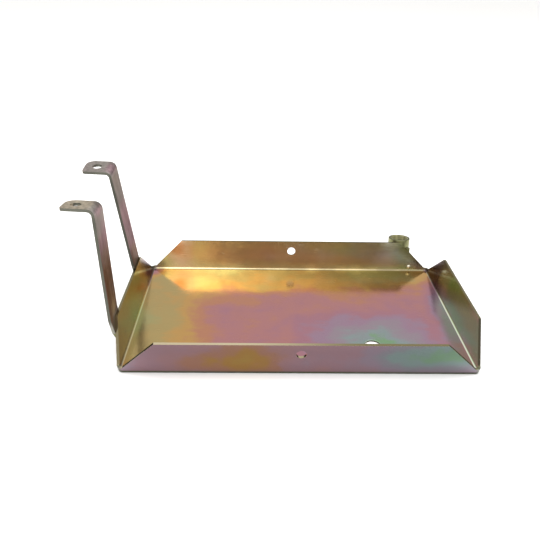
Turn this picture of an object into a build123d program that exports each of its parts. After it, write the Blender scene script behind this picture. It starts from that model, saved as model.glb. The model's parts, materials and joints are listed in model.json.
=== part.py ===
from build123d import *
import os
from math import copysign, cos, radians, sin, tan

# A folded sheet-steel tray that hangs by its legs. The base is a flat rectangle whose four sides are folded
# up into mitred flanges, and the corners are open above a low rounded rim. Two legs, bent from strips of the
# same sheet, are welded to the outside of the left flange and end in bolt tabs. A spacer tube is welded
# behind the back flange.
# +X runs along the tray, +Y to the back flange, +Z up. The origin is the middle of the base's underside.
# Millimetres and degrees.

# Tray
sheet = 2.5  # sheet thickness
base_length = 310.0  # between the end folds, inside
base_width = 173.0  # between the long folds, inside
flange_height = 33.0  # up the slope of a flange, from its fold
splay = 9.5  # how far the flanges lean out from square
corner_relief = 2.6  # from a base corner to where a flange's fold starts
rim_height = 3.2  # up the slope, how far the rounded corners are closed
mitre_inset = 32.5  # from a base corner to the end of a flange's top edge, along the fold
fold_radius = 2.0  # inside a fold
fold_lap = 6.0  # how far a fold's flat strip runs back into the base

# Holes in the tray
clamp_hole_radius = 4.5  # one at the middle of each long flange
clamp_hole_height = 21.8  # up the flange
base_hole_radius = 7.5
base_hole_x = 70.0
base_hole_y = -50.5

# Hanger legs, strips of the tray's sheet
bar_width = 24.0
bar_thickness = sheet
foot_start = 22.0  # up the left flange, where a leg's foot begins
knee_height = 35.2  # up the line of the flange, where the leg turns from the foot's slope to its own
knee_radius = 25.0
elbow_radius = 3.5  # inside
tab_hole_radius = 4.5
near_corner_radius = 3.5  # at the -Y side of a tab's tip
far_corner_radius = 8.5
skew_margin = 4.0  # extra width at each side of the strip while its skewed elbow is folded, then trimmed
# name: (middle of the bar in Y, lean outward, height of the tab's top at the elbow, from the leg's inner face
# to the tab's tip and to its hole, rise of the tab to its tip, skew of the elbow's fold line)
legs = {
    "front": (-53.5, 0.1, 139.9, 27.0, 17.0, 2.5, -7.2),
    "rear": (44.2, 6.5, 136.7, 26.3, 14.8, 2.1, 5.6),
}

# Spacer tube
tube_radius = 12.0
tube_wall = 3.0
tube_length = 32.0
tube_start = 3.0  # up the back flange, where the tube begins
tube_x = 124.0
tube_chamfer = 0.5

# Weld beads
toe_bead_drop = 5.0  # down the flange from the end of a foot
toe_bead_reach = 2.3  # out from the flange
side_bead_width = 3.5  # along the flange from the side of a foot
side_bead_reach = 2.3
side_bead_end = 1.5  # how far below the flange's top edge a side bead stops
tube_bead_radius = 3.2
tube_bead_offset = 7.6  # from the line where tube and flange touch to the bead's middle, along the flange
tube_bead_lift = 1.9  # and out from the flange
tube_bead_inset = 1.5  # from the bottom of the tube
tube_bead_top = 26.0  # up the flange
nub_radius = 2.3  # a bead of weld metal that came through the back flange
nub_rise = 1.2
nub_x = 134.4
nub_height = 4.6  # up the flange


class Side:
    """One of the four flanges: which way it faces, how far out its fold is and how long the fold is."""

    def __init__(self, facing, fold_distance, fold_length):
        self.out = Vector(1, 0, 0).rotate(Axis.Z, facing)
        self.fold_distance = fold_distance
        self.fold_length = fold_length
        self.up = self.out * sin(radians(splay)) + Vector(0, 0, cos(radians(splay)))
        self.normal = self.out * cos(radians(splay)) - Vector(0, 0, sin(radians(splay)))
        self.fold = self.out * fold_distance + Vector(0, 0, sheet)
        self.along = Vector(0, 0, 1).cross(self.out)

    def section_plane(self, middle=(0, 0, 0)):
        """Across the fold: local x outward, local y up."""
        return Plane(origin=middle, x_dir=self.out, z_dir=self.out.cross(Vector(0, 0, 1)))

    def face_plane(self):
        """In the flange's inner face: local x along the fold, local y up the slope."""
        return Plane(origin=self.fold, x_dir=self.along, z_dir=self.normal)

    def outer_point(self, height, along=0.0):
        """A point on the outer face, at a height up the slope and a distance along the fold."""
        return self.fold + self.normal * sheet + self.up * height + self.along * along


# Counter-clockwise from above.
sides = {
    "front": Side(-90, base_width / 2, base_length),
    "right": Side(0, base_length / 2, base_width),
    "back": Side(90, base_width / 2, base_length),
    "left": Side(180, base_length / 2, base_width),
}


def fold_section(plane, distance, lap, height):
    """A cross-section: a flat strip of the base, the fold at that distance, and a wall of that height."""
    lean = radians(splay)
    inner = Vector(distance, sheet)
    up = Vector(sin(lean), cos(lean))
    out = Vector(cos(lean), -sin(lean))
    outer = Vector(distance + sheet * (1 - sin(lean)) / cos(lean), 0)
    top = inner + up * height
    start = distance - lap
    with BuildSketch(plane) as section:
        with BuildLine():
            Polyline((start, 0), outer, top + out * sheet, top, inner, (start, sheet), close=True)
        make_face()
        corners = section.vertices()
        inner_corner = corners.sort_by_distance((inner.X, inner.Y))[0]
        outer_corner = corners.sort_by_distance((outer.X, outer.Y))[0]
        fillet(inner_corner, fold_radius)
        fillet(outer_corner, fold_radius + sheet)
    return section.sketch


# The tray is one folded blank. Its corners are rounded and closed up to the rim height, and open above it.
fold_setback = fold_radius * tan(radians(90 - splay) / 2)
neighbours = list(sides.values())[1:] + [sides["front"]]
with BuildPart() as tray:
    with BuildSketch(Plane.XY):
        Rectangle(base_length - 2 * fold_setback, base_width - 2 * fold_setback)
    extrude(amount=sheet)
    for side, neighbour in zip(sides.values(), neighbours):
        straight = side.fold_length / 2 - corner_relief
        section = fold_section(side.section_plane(), side.fold_distance, fold_lap, flange_height)
        extrude(section, amount=straight, both=True)
        with BuildSketch(side.face_plane()):
            for end in (-1, 1):
                with BuildLine():
                    Polyline(
                        (end * straight, rim_height),
                        (end * (side.fold_length / 2 - mitre_inset), flange_height),
                        (end * (side.fold_length / 2 - mitre_inset), flange_height + sheet),
                        (end * (straight + sheet), flange_height + sheet),
                        (end * (straight + sheet), rim_height),
                        close=True,
                    )
                make_face()
        extrude(amount=2 * sheet, both=True, mode=Mode.SUBTRACT)
        middle = side.out * (side.fold_distance - corner_relief)
        middle += neighbour.out * (neighbour.fold_distance - corner_relief)
        section = fold_section(side.section_plane(middle), corner_relief, corner_relief, rim_height)
        revolve(section, axis=Axis(middle, (0, 0, 1)), revolution_arc=90)
    for name in ("front", "back"):
        with BuildSketch(sides[name].face_plane()):
            with Locations((0, clamp_hole_height)):
                Circle(clamp_hole_radius)
        extrude(amount=2 * sheet, both=True, mode=Mode.SUBTRACT)
    with BuildSketch(Plane.XY):
        with Locations((base_hole_x, base_hole_y)):
            Circle(base_hole_radius)
    extrude(amount=sheet, mode=Mode.SUBTRACT)
tray.part.label = "tray"


def build_leg(middle, lean, elbow_height, tab_length, hole_reach, rise, skew):
    """One hanger leg: a foot flat on the left flange, the leg itself, and a tab folded outward."""
    flange = sides["left"]
    up = Vector(-sin(radians(lean)), 0, cos(radians(lean)))
    out = Vector(-cos(radians(lean)), 0, -sin(radians(lean)))
    fold = Vector(0, cos(radians(skew)), 0) + up * sin(radians(skew))
    square_up = fold.cross(out)
    knee = flange.outer_point(knee_height)
    elbow = knee + up * ((elbow_height - knee.Z) / up.Z)  # where the inner face would meet the tab's top
    turn = 90 - lean - rise
    elbow_outside = elbow_radius + bar_thickness
    bend_start = elbow - up * (elbow_outside * tan(radians(turn) / 2)) + Vector(0, middle, 0)
    stock_end = bend_start + up * bar_width  # past the skewed fold line, cut back below
    foot = flange.outer_point(foot_start)
    half_turn = radians(splay - lean) / 2
    knee_outer = knee + (flange.normal + out).normalized() * (bar_thickness / cos(half_turn))
    corners = [foot, knee, stock_end, stock_end + out * bar_thickness, knee_outer]
    corners.append(foot + flange.normal * bar_thickness)
    with BuildPart() as leg:
        with BuildSketch(Plane.XZ.offset(-middle)) as profile:
            with BuildLine():
                Polyline(*[(p.X, p.Z) for p in corners], close=True)
            make_face()
            for corner in (knee, knee_outer):
                fillet(profile.vertices().sort_by_distance((corner.X, corner.Z))[0], knee_radius)
        extrude(amount=bar_width / 2 + skew_margin, both=True)
        split(bisect_by=Plane(origin=bend_start, z_dir=square_up), keep=Keep.BOTTOM)
        bend_axis = Axis(bend_start + out * elbow_outside, fold * -1)
        revolve(leg.faces().sort_by(Axis.Z)[-1], axis=bend_axis, revolution_arc=turn)
        square_tab = square_up.rotate(Axis((0, 0, 0), fold * -1), turn)
        extrude(leg.faces().sort_by(Axis.X)[0], amount=tab_length, dir=square_tab)
        with BuildSketch(Plane.XY):
            with Locations((elbow.X, middle)):
                Rectangle(4 * tab_length, bar_width)
        extrude(amount=2 * elbow_height, mode=Mode.INTERSECT)
        tab_normal = fold.cross(square_tab)
        along = Vector(-tab_normal.Z, 0, tab_normal.X).normalized()
        tip = elbow + Vector(0, middle, 0) + along * tab_length
        split(bisect_by=Plane(origin=tip, z_dir=along), keep=Keep.BOTTOM)
        for side_of_tip, corner_radius in ((0, near_corner_radius), (-1, far_corner_radius)):
            tip_edges = leg.faces().sort_by(Axis.X)[0].edges().sort_by(Axis.Y)
            fillet(tip_edges[side_of_tip], corner_radius)
        hole_middle = tip - along * (tab_length - hole_reach)
        with BuildSketch(Plane(origin=hole_middle, x_dir=along, z_dir=tab_normal)):
            Circle(tab_hole_radius)
        extrude(amount=2 * bar_thickness, both=True, mode=Mode.SUBTRACT)
    return leg.part, hole_middle, tab_normal


leg_parts = {}
for name, shape in legs.items():
    leg_parts[name], hole_middle, tab_normal = build_leg(*shape)
    leg_parts[name].label = name + "_leg"
    print(name, "tab hole: top middle", hole_middle, "axis", tab_normal)

# The spacer tube stands on its end against the back flange's outer face, parallel to it.
back = sides["back"]
tube_foot = back.outer_point(tube_start, -tube_x) + back.normal * tube_radius
with BuildPart() as tube:
    with BuildSketch(Plane(origin=tube_foot, z_dir=back.up)):
        Circle(tube_radius)
        Circle(tube_radius - tube_wall, mode=Mode.SUBTRACT)
    extrude(amount=tube_length)
    chamfer(tube.edges().filter_by(GeomType.CIRCLE), tube_chamfer)
tube.part.label = "spacer_tube"


# Each foot has a fillet weld below its end and another up its inner side. Its other side stands at the
# flange's mitred end and has none.
def build_fillet_bead(start, end, first, second, first_size, second_size):
    """A weld bead in the corner of two faces: a quarter of an ellipse, run from start to end."""
    run = end - start
    x_dir, y_dir = (first, second) if first.cross(second).dot(run) > 0 else (second, first)
    x_size, y_size = (first_size, second_size) if x_dir is first else (second_size, first_size)
    with BuildPart() as bead:
        with BuildSketch(Plane(origin=start, x_dir=x_dir, z_dir=run)):
            Ellipse(x_size, y_size)
            Rectangle(x_size, y_size, align=(Align.MIN, Align.MIN), mode=Mode.INTERSECT)
        extrude(amount=run.length)
    return bead.part


left = sides["left"]
beads = {}
for name, (middle, *_) in legs.items():
    inner_edge = middle - copysign(bar_width / 2, middle)
    outer_edge = middle + copysign(bar_width / 2, middle)
    # Along the left flange, distances run towards -Y.
    beads[name + "_leg_toe_weld"] = build_fillet_bead(
        left.outer_point(foot_start, -outer_edge),
        left.outer_point(foot_start, -inner_edge),
        left.up * -1,
        left.normal,
        toe_bead_drop,
        toe_bead_reach,
    )
    beads[name + "_leg_side_weld"] = build_fillet_bead(
        left.outer_point(foot_start, -inner_edge),
        left.outer_point(flange_height - side_bead_end, -inner_edge),
        Vector(0, copysign(1, -middle), 0),
        left.normal,
        side_bead_width,
        side_bead_reach,
    )

# The tube has a bead in the groove on each side of the line where it touches the flange.
for name, sign in (("left", -1), ("right", 1)):
    seam = back.outer_point(tube_start + tube_bead_inset, -tube_x)
    with BuildPart() as bead:
        with BuildSketch(Plane(origin=seam, x_dir=back.along * -1, z_dir=back.up)):
            with Locations((sign * tube_bead_offset, tube_bead_lift)):
                Circle(tube_bead_radius)
            with Locations((0, tube_radius)):
                Circle(tube_radius, mode=Mode.SUBTRACT)
            Rectangle(4 * tube_radius, tube_radius, align=(Align.CENTER, Align.MAX), mode=Mode.SUBTRACT)
        extrude(amount=tube_bead_top - tube_start - tube_bead_inset)
    beads[f"tube_{name}_weld"] = bead.part

# Behind the right bead's lower end a nub of weld metal came through to the flange's inner face.
nub_middle = back.fold + back.up * nub_height - back.along * nub_x
with BuildPart() as nub:
    with BuildSketch(Plane(origin=nub_middle, x_dir=back.up, z_dir=back.along * -1)):
        with BuildLine():
            RadiusArc((nub_radius, 0), (0, nub_rise), -(nub_radius**2 + nub_rise**2) / (2 * nub_rise))
            Polyline((0, nub_rise), (0, 0), (nub_radius, 0))
        make_face()
    revolve(axis=Axis(nub_middle, back.normal))
beads["tube_weld_nub"] = nub.part

for name, bead in beads.items():
    bead.label = name

os.makedirs("parts", exist_ok=True)
export_step(tray.part, "parts/tray.step")
for name, leg in leg_parts.items():
    export_step(leg, f"parts/{name}_leg.step")
export_step(tube.part, "parts/spacer_tube.step")
for name, bead in beads.items():
    export_step(bead, f"parts/{name}.step")
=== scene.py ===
import json
import math

import bmesh
import bpy
from mathutils import Matrix, Vector


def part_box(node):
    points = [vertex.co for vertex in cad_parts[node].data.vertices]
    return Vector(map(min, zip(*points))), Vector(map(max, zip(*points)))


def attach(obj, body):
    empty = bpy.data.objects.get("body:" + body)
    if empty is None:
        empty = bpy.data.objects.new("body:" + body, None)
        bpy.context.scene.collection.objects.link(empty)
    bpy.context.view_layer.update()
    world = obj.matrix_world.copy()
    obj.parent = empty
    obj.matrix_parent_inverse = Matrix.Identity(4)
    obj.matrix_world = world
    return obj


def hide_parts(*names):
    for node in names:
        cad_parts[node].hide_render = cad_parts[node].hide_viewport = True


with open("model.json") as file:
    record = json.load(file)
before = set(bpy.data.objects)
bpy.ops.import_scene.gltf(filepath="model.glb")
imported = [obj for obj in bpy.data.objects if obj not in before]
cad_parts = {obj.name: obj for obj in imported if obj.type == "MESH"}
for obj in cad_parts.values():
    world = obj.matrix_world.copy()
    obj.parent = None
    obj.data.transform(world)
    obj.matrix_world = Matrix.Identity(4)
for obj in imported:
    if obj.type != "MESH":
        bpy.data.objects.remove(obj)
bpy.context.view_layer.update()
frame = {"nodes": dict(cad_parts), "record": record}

MM = 0.001
nodes = frame["nodes"]


# ---------------------------------------------------------------- shader graphs
class Graph:
    """A material's node tree, with short calls for the nodes that this scene uses."""

    def __init__(self, name):
        self.material = bpy.data.materials.new(name)
        self.material.use_nodes = True
        self.tree = self.material.node_tree
        self.tree.nodes.clear()
        self.shader = self.node("ShaderNodeBsdfPrincipled")
        output = self.node("ShaderNodeOutputMaterial")
        self.link(self.shader.outputs[0], output.inputs["Surface"])
        self.place = self.node("ShaderNodeTexCoord").outputs["Object"]

    def node(self, kind, **settings):
        made = self.tree.nodes.new(kind)
        for key, value in settings.items():
            setattr(made, key, value)
        return made

    def link(self, source, target):
        self.tree.links.new(source, target)

    def plug(self, socket, value):
        if isinstance(value, bpy.types.NodeSocket):
            self.link(value, socket)
        else:
            socket.default_value = value

    def math(self, operation, *values):
        made = self.node("ShaderNodeMath", operation=operation)
        for socket, value in zip(made.inputs, values):
            self.plug(socket, value)
        return made.outputs[0]

    def vector(self, operation, *values):
        made = self.node("ShaderNodeVectorMath", operation=operation)
        for socket, value in zip(made.inputs, values):
            self.plug(socket, value)
        return made.outputs["Value" if operation == "LENGTH" else "Vector"]

    def scaled(self, vector, amount):
        made = self.node("ShaderNodeVectorMath", operation="SCALE")
        self.plug(made.inputs["Vector"], vector)
        self.plug(made.inputs["Scale"], amount)
        return made.outputs["Vector"]

    def stretched(self, *scale):
        """The place, scaled along each axis."""
        return self.vector("MULTIPLY", self.place, scale)

    def noise(self, place, scale, detail=2.0, roughness=0.5):
        made = self.node("ShaderNodeTexNoise")
        self.plug(made.inputs["Vector"], place)
        made.inputs["Scale"].default_value = scale
        made.inputs["Detail"].default_value = detail
        made.inputs["Roughness"].default_value = roughness
        return made.outputs["Fac"]

    def ease(self, value, low, high, to_low=0.0, to_high=1.0):
        """Runs smoothly from to_low at low to to_high at high, and stays level outside."""
        made = self.node("ShaderNodeMapRange", interpolation_type="SMOOTHSTEP")
        settings = {"Value": value, "From Min": low, "From Max": high, "To Min": to_low, "To Max": to_high}
        for name, setting in settings.items():
            self.plug(made.inputs[name], setting)
        return made.outputs["Result"]

    def ramp(self, value, stops):
        made = self.node("ShaderNodeValToRGB")
        band = made.color_ramp
        band.interpolation = "EASE"
        while len(band.elements) < len(stops):
            band.elements.new(0.5)
        for element, (position, colour) in zip(band.elements, stops):
            element.position = position
            element.color = (*colour, 1.0)
        self.plug(made.inputs["Fac"], value)
        return made.outputs["Color"]

    def blend(self, share, first, second):
        made = self.node("ShaderNodeMix", data_type="RGBA")
        self.plug(made.inputs["Factor"], share)
        colour_sockets = [socket for socket in made.inputs if socket.type == "RGBA"]
        for socket, value in zip(colour_sockets, (first, second)):
            self.plug(socket, value if isinstance(value, bpy.types.NodeSocket) else (*value, 1.0))
        return next(socket for socket in made.outputs if socket.type == "RGBA")

    def bump(self, height, strength, distance, normal=None):
        made = self.node("ShaderNodeBump")
        made.inputs["Strength"].default_value = strength
        made.inputs["Distance"].default_value = distance
        self.plug(made.inputs["Height"], height)
        if normal is not None:
            self.link(normal, made.inputs["Normal"])
        return made.outputs["Normal"]


# ---------------------------------------------------------------- the plating
# Bright zinc under a yellow passivate film. The film shows interference colours, and which one depends on
# how thick it is there, from 0 to 1 below.
FILM = [
    (0.00, (0.35, 0.32, 0.145)),
    (0.12, (0.40, 0.30, 0.125)),
    (0.25, (0.49, 0.29, 0.10)),
    (0.36, (0.45, 0.21, 0.13)),
    (0.47, (0.41, 0.19, 0.19)),
    (0.58, (0.37, 0.18, 0.22)),
    (0.68, (0.32, 0.21, 0.28)),
    (0.78, (0.30, 0.24, 0.28)),
    (0.87, (0.25, 0.30, 0.30)),
    (0.94, (0.20, 0.33, 0.19)),
    (1.00, (0.25, 0.25, 0.09)),
]
# Painted shade: a duller, darker copy of the film for the outer faces.
SHADED_OUTER_FILM = [
    (0.00, (0.34, 0.32, 0.09)),
    (0.12, (0.38, 0.27, 0.07)),
    (0.25, (0.39, 0.22, 0.07)),
    (0.36, (0.38, 0.20, 0.14)),
    (0.47, (0.36, 0.21, 0.22)),
    (0.58, (0.34, 0.21, 0.24)),
    (0.68, (0.30, 0.23, 0.28)),
    (0.78, (0.26, 0.25, 0.28)),
    (0.87, (0.23, 0.30, 0.29)),
    (0.94, (0.20, 0.32, 0.21)),
    (1.00, (0.24, 0.26, 0.13)),
]
# Painted light: a paler copy of the film on the inner faces of the long flanges and their folds, which
# paints the bright line along each fold.
LIT_PALE_FILM = [
    (0.00, (0.85, 0.42, 0.20)),
    (0.12, (0.94, 0.66, 0.44)),
    (0.30, (0.96, 0.80, 0.46)),
    (0.50, (0.50, 0.42, 0.25)),
    (0.75, (0.47, 0.48, 0.45)),
    (1.00, (0.40, 0.54, 0.44)),
]
# On the inner faces of the end flanges. The dark stop at 0.5 is painted shade, towards the left flange's
# far end.
END_FILM = [
    (0.00, (0.42, 0.50, 0.26)),
    (0.25, (0.48, 0.42, 0.24)),
    (0.50, (0.17, 0.11, 0.13)),
    (0.75, (0.68, 0.72, 0.58)),
    (1.00, (0.47, 0.74, 0.42)),
]

# Pools where the film drained thicker or thinner: middle and reach in mm, and how much the film changes.
BASE_POOLS = [
    ((75, -50, 0), (95, 70, 14), 0.42),
    ((-152, -20, 0), (92, 140, 20), -0.50),
    ((130, 80, 0), (90, 40, 14), -0.25),
    ((-80, 85, 0), (126, 88, 14), -0.50),
    ((60, 85, 0), (126, 80, 14), -0.45),
    ((-25, 46, 0), (62, 16, 14), -0.13),
    ((-45, 18, 0), (45, 16, 14), -0.14),
    ((-154, 83, 0), (16, 22, 14), 0.38),
    ((152, 0, 0), (24, 85, 14), 0.36),
]
# Painted light: pools where the base is painted brighter, as a share, near the back flange.
LIT_POOLS = [
    ((-35, 75, 0), (36, 18, 14), 0.28),
    ((102, 75, 0), (52, 24, 14), 0.65),
]
INNER_POOLS = [
    ((-10, 92, 18), (130, 14, 60), 0.25),
    ((-130, 92, 18), (40, 14, 60), -0.28),
    ((130, 92, 18), (120, 14, 60), 0.40),
    ((-160, 5, 18), (16, 70, 60), -0.35),
    ((-160, 100, 18), (40, 90, 120), 0.36),
    ((-160, -90, 18), (16, 45, 60), 0.10),
    ((160, 0, 18), (20, 160, 60), 0.85),
    ((160, 60, 18), (20, 90, 60), -0.35),
    ((160, -80, 18), (20, 44, 60), 0.30),
    ((0, -92, 18), (200, 14, 60), -0.21),
]
OUTER_POOLS = [
    ((-55, -93, 6), (65, 8, 45), -0.36),
    ((128, -93, 14), (132, 8, 60), 0.45),
    ((-5, -93, 8), (30, 8, 20), 0.10),
    ((-150, -93, 14), (50, 8, 60), 0.20),
]


# The film's unevenness: a slow drift, mottling, and streaks along X. Stretch, scale and amount of each.
UNEVENNESS = [
    ((1, 1, 2), 14, 0.26),
    ((1, 1, 1), 34, 0.34),
    ((1, 6, 1), 30, 0.10),
]


def mottling(g):
    """The film's unevenness, around zero."""
    total = 0.0
    for stretch, scale, amount in UNEVENNESS:
        wander = g.noise(g.stretched(*stretch), scale, 3.0, 0.55)
        total = g.math("ADD", total, g.math("MULTIPLY", g.math("SUBTRACT", wander, 0.5), amount))
    return total


def pooled(g, drift, level, pools):
    """The level with its drift, changed by each pool."""
    in_mm = g.scaled(g.place, 1 / MM)
    value = g.math("ADD", drift, level)
    for middle, reach, amount in pools:
        away = g.vector("DIVIDE", g.vector("SUBTRACT", in_mm, middle), reach)
        value = g.math("ADD", value, g.ease(g.vector("LENGTH", away), 0.0, 1.0, amount, 0.0))
    return value


SMUDGE_DULLING = 1.8
SCRATCH_DULLING = 0.12


def finish_plating(g, colour, roughness):
    """Metal of that colour, with smudges, fine scratches, a faint orange peel and a fine grain."""
    g.plug(g.shader.inputs["Base Color"], colour)
    g.shader.inputs["Metallic"].default_value = 1.0
    smudges = g.noise(g.place, 45, 5.0, 0.6)
    dull = g.ease(smudges, 0.3, 0.8, roughness, roughness * SMUDGE_DULLING)
    scratches = g.ease(g.noise(g.stretched(1.0, 25.0, 25.0), 60, 2.0), 0.66, 0.72)
    dull = g.math("ADD", dull, g.math("MULTIPLY", scratches, SCRATCH_DULLING))
    g.plug(g.shader.inputs["Roughness"], dull)
    waves = g.noise(g.place, 22, 2.0)
    grain = g.noise(g.stretched(1.0, 8.0, 8.0), 900, 3.0)
    normal = g.bump(waves, 0.08, 0.004)
    g.plug(g.shader.inputs["Normal"], g.bump(grain, 0.05, 0.0002, normal))
    return g.material


def split_axes(g, vector):
    parts = g.node("ShaderNodeSeparateXYZ")
    g.link(vector, parts.inputs[0])
    return parts.outputs


BASE_TOP = 2.5 * MM
CORNER_RIM = 5.1 * MM  # the height that the closed corners reach
FLANGE_MIDDLE = 21 * MM
END_FOLD = 152 * MM  # along X, from the middle
LONG_FOLD = 84 * MM  # along Y, from the middle, where a long flange's fold begins

SHADED_FOLD = (0.08, 0.09, 0.06)
# Sheared edges: the dark ones are painted shade, the lighter ones painted highlights.
SLANTED_EDGE = (0.08, 0.07, 0.045)
LEFT_SLANTED_HIGHLIGHT = (0.26, 0.22, 0.13)
TOP_EDGE = (0.22, 0.19, 0.10)
FRONT_LEFT_TOP_HIGHLIGHT = (0.58, 0.50, 0.34)
# Painted shade in the closed corners.
CORNER_SHADE = (0.10, 0.12, 0.08)


def outer_faces(g, drift, facing, height):
    """The flanges' outer faces, painted brighter towards the fold and darker towards the top as painted
    light and shade, and the fold, with painted shade where it turns under.
    """
    colour = g.ramp(pooled(g, drift, 0.5, OUTER_POOLS), SHADED_OUTER_FILM)
    # Painted light and shade: brighter near the fold, darker higher up.
    colour = g.scaled(colour, g.ease(height, 0.0, 30 * MM, 0.76, 0.49))
    under = g.math("MULTIPLY", g.ease(height, 3.5 * MM, 1.0 * MM), g.ease(facing, -0.98, -0.9))
    return g.blend(under, colour, SHADED_FOLD)


def inner_faces(g, drift, place, along):
    """The flanges' inner faces. The long ones are painted darker above the fold and towards the right end,
    as painted shade.
    """
    height = place["Z"]
    film = pooled(g, drift, 0.3, INNER_POOLS)
    # Painted shade on the long inner faces, above the fold and towards the right end.
    above_fold = g.ease(height, 4.2 * MM, 5.4 * MM)
    above_fold = g.math("MULTIPLY", above_fold, g.ease(height, FLANGE_MIDDLE, 9 * MM))
    shade_factor = g.ease(above_fold, 0.0, 1.0, 1.0, 0.82)
    shade_factor = g.math("MULTIPLY", shade_factor, g.ease(place["X"], 75 * MM, 105 * MM, 1.0, 0.76))
    long_faces = g.scaled(g.ramp(film, LIT_PALE_FILM), shade_factor)
    at_end = g.ease(along, END_FOLD - 2 * MM, END_FOLD + 2 * MM)
    return g.blend(at_end, long_faces, g.ramp(film, END_FILM))


def sheared_edges(g, facing, place):
    """The flanges' sheared edges: the mitres slant, and the top edges face up. They are painted dark as
    shade, with painted highlights on the left flange's mitres and the front flange's top edge at left.
    """
    left_end = g.ease(place["X"], -END_FOLD, -END_FOLD - 4 * MM)
    slanted = g.blend(left_end, SLANTED_EDGE, LEFT_SLANTED_HIGHLIGHT)
    front_left = g.ease(place["Y"], -80 * MM, -88 * MM)
    front_left = g.math("MULTIPLY", front_left, g.ease(place["X"], 60 * MM, -60 * MM))
    top = g.blend(front_left, TOP_EDGE, FRONT_LEFT_TOP_HIGHLIGHT)
    return g.blend(g.ease(facing, 0.8, 0.9), slanted, top)


def tray_plating():
    """The base, the flanges' outer and inner faces, and the sheared edges, each with its own film, and
    light and shade painted on the base, the faces, the folds, the edges and the corners.
    """
    g = Graph("tray_plate")
    drift = mottling(g)
    facing = split_axes(g, g.node("ShaderNodeNewGeometry").outputs["Normal"])["Z"]
    place = split_axes(g, g.place)
    height = place["Z"]
    along = g.math("ABSOLUTE", place["X"])
    across = g.math("ABSOLUTE", place["Y"])

    base = g.ramp(pooled(g, drift, 0.5, BASE_POOLS), FILM)
    # Painted light: the base is painted brighter in the lit pools.
    base = g.scaled(base, pooled(g, 0.0, 1.0, LIT_POOLS))
    # Tilted faces above the base, the folds among them, take the inner faces' film; its pale copy paints a
    # highlight along the long folds.
    tilted = g.ease(facing, 0.995, 0.97)
    tilted = g.math("MULTIPLY", tilted, g.ease(height, BASE_TOP, BASE_TOP + 0.06 * MM))
    colour = g.blend(tilted, base, inner_faces(g, drift, place, along))
    colour = g.blend(g.ease(facing, 0.0, 0.05), outer_faces(g, drift, facing, height), colour)

    raised = g.ease(height, CORNER_RIM, CORNER_RIM + 0.4 * MM)
    edge = g.math("MULTIPLY", raised, g.ease(facing, 0.3, 0.5))
    colour = g.blend(edge, colour, sheared_edges(g, facing, place))
    # Painted shade in the closed corners.
    shaded_corner = g.ease(along, END_FOLD, END_FOLD + 4 * MM)
    shaded_corner = g.math("MULTIPLY", shaded_corner, g.ease(across, LONG_FOLD, LONG_FOLD + 3 * MM))
    colour = g.blend(g.math("MULTIPLY", shaded_corner, 0.8), colour, CORNER_SHADE)
    return finish_plating(g, colour, 0.12)


# The legs' film is thicker down their shanks than on their tabs.
LEG_FILM = [
    (0.00, (0.50, 0.45, 0.36)),
    (0.20, (0.30, 0.28, 0.26)),
    (0.42, (0.34, 0.24, 0.26)),
    (0.62, (0.31, 0.235, 0.20)),
    (0.80, (0.38, 0.32, 0.29)),
    (1.00, (0.74, 0.68, 0.60)),
]
LEG_POOLS = [
    ((-180, -53, 142), (20, 30, 24), -0.28),
    ((-163, -53, 136), (9, 24, 9), 0.14),
    ((-165, -53, 84), (40, 40, 50), 0.48),
    ((-165, -53, 40), (30, 30, 38), 0.74),
    ((-174, 44, 138), (12, 20, 12), 0.24),
    ((-162, 44, 85), (40, 40, 46), 0.24),
    ((-162, 44, 38), (30, 30, 34), 0.60),
]


LEG_CUT = (0.11, 0.11, 0.09)
LEG_FOOT_SHADE = (0.32, 0.31, 0.27)
LEG_SHEEN = (0.5, 0.42, 0.40)


def leg_plating():
    """Mauve-brown, streaked along the strip, with dark sheared edges, a greyer foot painted as shade,
    painted shade on the rear shank and painted light on the tabs.
    """
    g = Graph("leg_plate")
    film = pooled(g, mottling(g), 0.2, LEG_POOLS)
    facing = split_axes(g, g.node("ShaderNodeNewGeometry").outputs["Normal"])
    cut = g.ease(g.math("ABSOLUTE", facing["Y"]), 0.5, 0.8)
    streaks = g.noise(g.stretched(6.0, 6.0, 0.5), 60, 3.0)
    colour = g.scaled(g.ramp(film, LEG_FILM), g.ease(streaks, 0.3, 0.7, 0.82, 1.18))
    colour = g.blend(cut, colour, LEG_CUT)
    place = split_axes(g, g.place)
    height = place["Z"]
    # Painted shade: the rear leg's shank, below its tab, is painted darker.
    shaded_rear_shank = g.ease(place["Y"], -10 * MM, 10 * MM)
    shaded_rear_shank = g.math("MULTIPLY", shaded_rear_shank, g.ease(height, 136 * MM, 126 * MM))
    colour = g.scaled(colour, g.ease(shaded_rear_shank, 0.0, 1.0, 1.0, 0.74))
    # Painted light: the tabs at the top are painted a quarter brighter.
    colour = g.scaled(colour, g.ease(height, 130 * MM, 138 * MM, 1.0, 1.25))
    # Painted shade: the foot, down by the flange, is painted greyer.
    foot = g.ease(height, 38 * MM, 30 * MM)
    colour = g.blend(g.math("MULTIPLY", foot, 0.85), colour, LEG_FOOT_SHADE)
    g.shader.inputs["Specular Tint"].default_value = (*LEG_SHEEN, 1.0)
    return finish_plating(g, colour, 0.34)


TUBE_FILM = [
    (0.0, (0.25, 0.235, 0.115)),
    (1.0, (0.17, 0.185, 0.09)),
]
# Painted light: the inside of the bore is painted pale.
TUBE_INSIDE_LIT = (0.53, 0.51, 0.31)
BORE = next(mount for mount in frame["record"]["mounts"] if mount["name"] == "spacer_bore")


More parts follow.
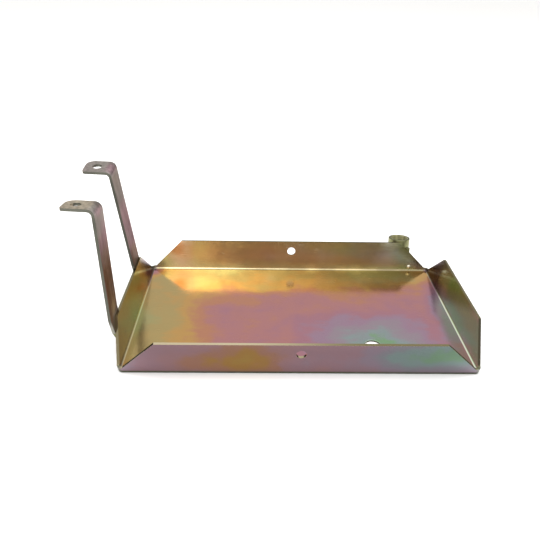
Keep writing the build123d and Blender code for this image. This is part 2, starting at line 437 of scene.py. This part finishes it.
def tube_plating():
    """Olive and streaked down its length, and duller inside the bore, where it is painted paler as painted
    light.
    """
    g = Graph("tube_plate")
    film = pooled(g, mottling(g), 0.5, [])
    spoke = g.vector("CROSS_PRODUCT", g.vector("SUBTRACT", g.place, BORE["pos_m"]), BORE["axis"])
    radius = BORE["dims"]["r_mm"]
    inside = g.ease(g.vector("LENGTH", spoke), (radius + 0.8) * MM, (radius + 0.2) * MM)
    colour = g.blend(inside, g.ramp(film, TUBE_FILM), TUBE_INSIDE_LIT)
    streaks = g.noise(g.stretched(8.0, 8.0, 0.6), 60, 3.0)
    colour = g.scaled(colour, g.ease(streaks, 0.3, 0.7, 0.75, 1.2))
    material = finish_plating(g, colour, 0.18)
    rough = g.shader.inputs["Roughness"].links[0].from_socket
    g.plug(g.shader.inputs["Roughness"], g.math("MAXIMUM", rough, g.math("MULTIPLY", inside, 0.75)))
    return material


# Painted highlight: the weld nub's film is near white.
NUB_HIGHLIGHT_FILM = [
    (0.0, (0.9, 0.86, 0.72)),
    (1.0, (0.8, 0.74, 0.58)),
]


def weld_plating(name, stops):
    g = Graph(name)
    return finish_plating(g, g.ramp(pooled(g, mottling(g), 0.5, []), stops), 0.3)


# ---------------------------------------------------------------- pieces
EDGE_BREAK = 0.2 * MM
WELD_GAP = 0.002 * MM
FLANGE_LEAN = math.asin(BORE["axis"][1])
UP_THE_LEFT_FLANGE = Vector((-math.sin(FLANGE_LEAN), 0, math.cos(FLANGE_LEAN)))
UP_THE_TUBE = Vector(BORE["axis"])
RIPPLE_PITCH = 1.8 * MM
RIPPLE_DEPTH = 0.55 * MM
RIPPLE_CURVE = 0.25  # how far a ripple trails behind at the bead's sides, by the distance from its middle
BEAD_GRID = 0.25 * MM
# The way that each bead runs.
BEAD_RUNS = {
    "front_leg_toe_weld": Vector((0, 1, 0)),
    "rear_leg_toe_weld": Vector((0, 1, 0)),
    "front_leg_side_weld": UP_THE_LEFT_FLANGE,
    "rear_leg_side_weld": UP_THE_LEFT_FLANGE,
    "tube_left_weld": UP_THE_TUBE,
    "tube_right_weld": UP_THE_TUBE,
}


def dress(piece, material):
    piece.data.materials.clear()
    piece.data.materials.append(material)


def break_edges(piece):
    """The sharp edges are rounded a little, as tumbling and plating leave them."""
    weld = piece.modifiers.new("joined_faces", "WELD")
    weld.merge_threshold = WELD_GAP
    bevel = piece.modifiers.new("broken_edges", "BEVEL")
    bevel.width = EDGE_BREAK
    bevel.segments = 2
    bevel.limit_method = "ANGLE"
    bevel.angle_limit = math.radians(35)
    bevel.use_clamp_overlap = True
    bevel.harden_normals = True


def rippled_bead(node, run):
    """A weld bead in place of the CAD's plain one: meshed finely, with the ripples pressed into it."""
    bead = bpy.data.objects.new(node + "_bead", nodes[node].data.copy())
    bead.matrix_world = nodes[node].matrix_world
    bpy.context.scene.collection.objects.link(bead)
    grid = bead.modifiers.new("fine_mesh", "REMESH")
    grid.mode = "VOXEL"
    grid.voxel_size = BEAD_GRID
    bpy.context.view_layer.update()
    fine = bpy.data.meshes.new_from_object(bead.evaluated_get(bpy.context.evaluated_depsgraph_get()))
    bead.modifiers.clear()
    bead.data = fine
    lowest, highest = (Vector(corner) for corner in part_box(node))
    middle = (lowest + highest) / 2
    shape = bmesh.new()
    shape.from_mesh(fine)
    moves = []
    for vertex in shape.verts:
        arm = bead.matrix_world @ vertex.co - middle
        distance = arm.dot(run)
        off_axis = (arm - run * distance).length
        phase = (distance + RIPPLE_CURVE * off_axis) / RIPPLE_PITCH
        press = 0.5 - 0.5 * math.cos(2 * math.pi * phase)
        moves.append((vertex, vertex.normal * (-RIPPLE_DEPTH * press ** 2)))
    for vertex, move in moves:
        vertex.co += move
    for face in shape.faces:
        face.smooth = True
    shape.to_mesh(fine)
    shape.free()
    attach(bead, "root")
    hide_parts(node)
    return bead


tray_plate = tray_plating()
leg_plate = leg_plating()
tube_plate = tube_plating()
weld_plate = weld_plating("weld_plate", TUBE_FILM)
nub_highlight_plate = weld_plating("nub_highlight_plate", NUB_HIGHLIGHT_FILM)
for name, material in (
    ("tray", tray_plate),
    ("front_leg", leg_plate),
    ("rear_leg", leg_plate),
    ("spacer_tube", tube_plate),
):
    dress(nodes[name], material)
    break_edges(nodes[name])
dress(nodes["tube_weld_nub"], nub_highlight_plate)
for name, run in BEAD_RUNS.items():
    dress(rippled_bead(name, run), weld_plate)


# ---------------------------------------------------------------- floor, light and camera
FLOOR_SIZE = 40.0
FLOOR_HEIGHT = -0.2 * MM


def build_floor():
    bpy.ops.mesh.primitive_plane_add(size=FLOOR_SIZE, location=(0, 0, FLOOR_HEIGHT))
    floor = bpy.context.object
    floor.name = "floor"
    g = Graph("floor")
    g.shader.inputs["Base Color"].default_value = (0.93, 0.93, 0.925, 1.0)
    g.shader.inputs["Roughness"].default_value = 0.9
    floor.data.materials.append(g.material)


HORIZON_LIGHT = 0.3
ZENITH_LIGHT = 1.05
SOFT_LIGHT = 3.3
LOW_FRONT_LIGHT = 0.9
BACKDROP_LIGHT = 1.0  # the plain white that the camera sees in place of the studio
OVERHEAD_PLACE = (0.0, 0.1, 1.9)
OVERHEAD_TARGET = (0.0, 0.0, 0.02)
OVERHEAD_SIZE = 1.8
OVERHEAD_POWER = 40.0


def build_world():
    """A white studio, dim near the horizon, with a broad soft light front left and a low one in front."""
    world = bpy.data.worlds.new("studio")
    world.use_nodes = True
    bpy.context.scene.world = world
    tree = world.node_tree

    def link(source, target):
        tree.links.new(source, target)

    def ease(source, low, high, to_low=0.0, to_high=1.0):
        made = tree.nodes.new("ShaderNodeMapRange")
        made.interpolation_type = "SMOOTHSTEP"
        for name, value in (("From Min", low), ("From Max", high), ("To Min", to_low), ("To Max", to_high)):
            made.inputs[name].default_value = value
        link(source, made.inputs["Value"])
        return made.outputs["Result"]

    def combine(operation, first, second):
        made = tree.nodes.new("ShaderNodeMath")
        made.operation = operation
        link(first, made.inputs[0])
        link(second, made.inputs[1])
        return made.outputs[0]

    way = tree.nodes.new("ShaderNodeTexCoord")
    split = tree.nodes.new("ShaderNodeSeparateXYZ")
    link(way.outputs["Generated"], split.inputs[0])
    east, north, up = split.outputs
    sky = ease(up, 0.05, 0.6, HORIZON_LIGHT, ZENITH_LIGHT)
    sky = combine("MULTIPLY", sky, ease(north, -0.6, 0.3, 0.95, 1.0))
    soft_light = combine("MULTIPLY", ease(east, -0.28, -0.09), ease(east, 0.22, -0.08, 0.0, SOFT_LIGHT))
    soft_light = combine("MULTIPLY", soft_light, ease(north, -0.35, -0.55))
    soft_light = combine("MULTIPLY", soft_light, ease(up, 0.45, 0.60))
    soft_light = combine("MULTIPLY", soft_light, ease(up, 0.90, 0.80))
    low_front = combine("MULTIPLY", ease(north, -0.5, -0.9, 0.0, LOW_FRONT_LIGHT), ease(up, 0.05, 0.14))
    low_front = combine("MULTIPLY", low_front, ease(up, 0.45, 0.28))
    background = tree.nodes["Background"]
    background.inputs["Color"].default_value = (1.0, 0.99, 0.975, 1.0)
    studio = combine("ADD", sky, combine("ADD", soft_light, low_front))
    light_path = tree.nodes.new("ShaderNodeLightPath")
    backdrop = tree.nodes.new("ShaderNodeMix")
    link(light_path.outputs["Is Camera Ray"], backdrop.inputs["Factor"])
    link(studio, backdrop.inputs["A"])
    backdrop.inputs["B"].default_value = BACKDROP_LIGHT
    link(backdrop.outputs["Result"], background.inputs["Strength"])


def build_overhead():
    """A large light above, which the metal doesn't mirror."""
    data = bpy.data.lights.new("overhead", "AREA")
    data.shape = "RECTANGLE"
    data.size = OVERHEAD_SIZE
    data.size_y = OVERHEAD_SIZE
    data.energy = OVERHEAD_POWER
    light = bpy.data.objects.new("overhead", data)
    bpy.context.scene.collection.objects.link(light)
    light.location = OVERHEAD_PLACE
    light.rotation_mode = "QUATERNION"
    light.rotation_quaternion = (Vector(OVERHEAD_PLACE) - Vector(OVERHEAD_TARGET)).to_track_quat("Z", "Y")
    light.visible_glossy = False


CAMERA_PLACE = (-0.03619, -0.45464, 0.31485)
CAMERA_YAW = math.radians(1.334)
CAMERA_PITCH = math.radians(30.057)
CAMERA_ROLL = math.radians(1.17)
SENSOR_WIDTH = 36.0
LENS = 36.62


def build_camera():
    data = bpy.data.cameras.new("camera")
    data.sensor_width = SENSOR_WIDTH
    data.lens = LENS
    camera = bpy.data.objects.new("camera", data)
    bpy.context.scene.collection.objects.link(camera)
    turn = Matrix.Rotation(-CAMERA_YAW, 4, "Z")
    turn = turn @ Matrix.Rotation(math.pi / 2 - CAMERA_PITCH, 4, "X")
    turn = turn @ Matrix.Rotation(CAMERA_ROLL, 4, "Z")
    camera.matrix_world = Matrix.Translation(CAMERA_PLACE) @ turn
    bpy.context.scene.camera = camera


build_floor()
build_world()
build_overhead()
build_camera()
bpy.context.scene.view_settings.view_transform = "Standard"
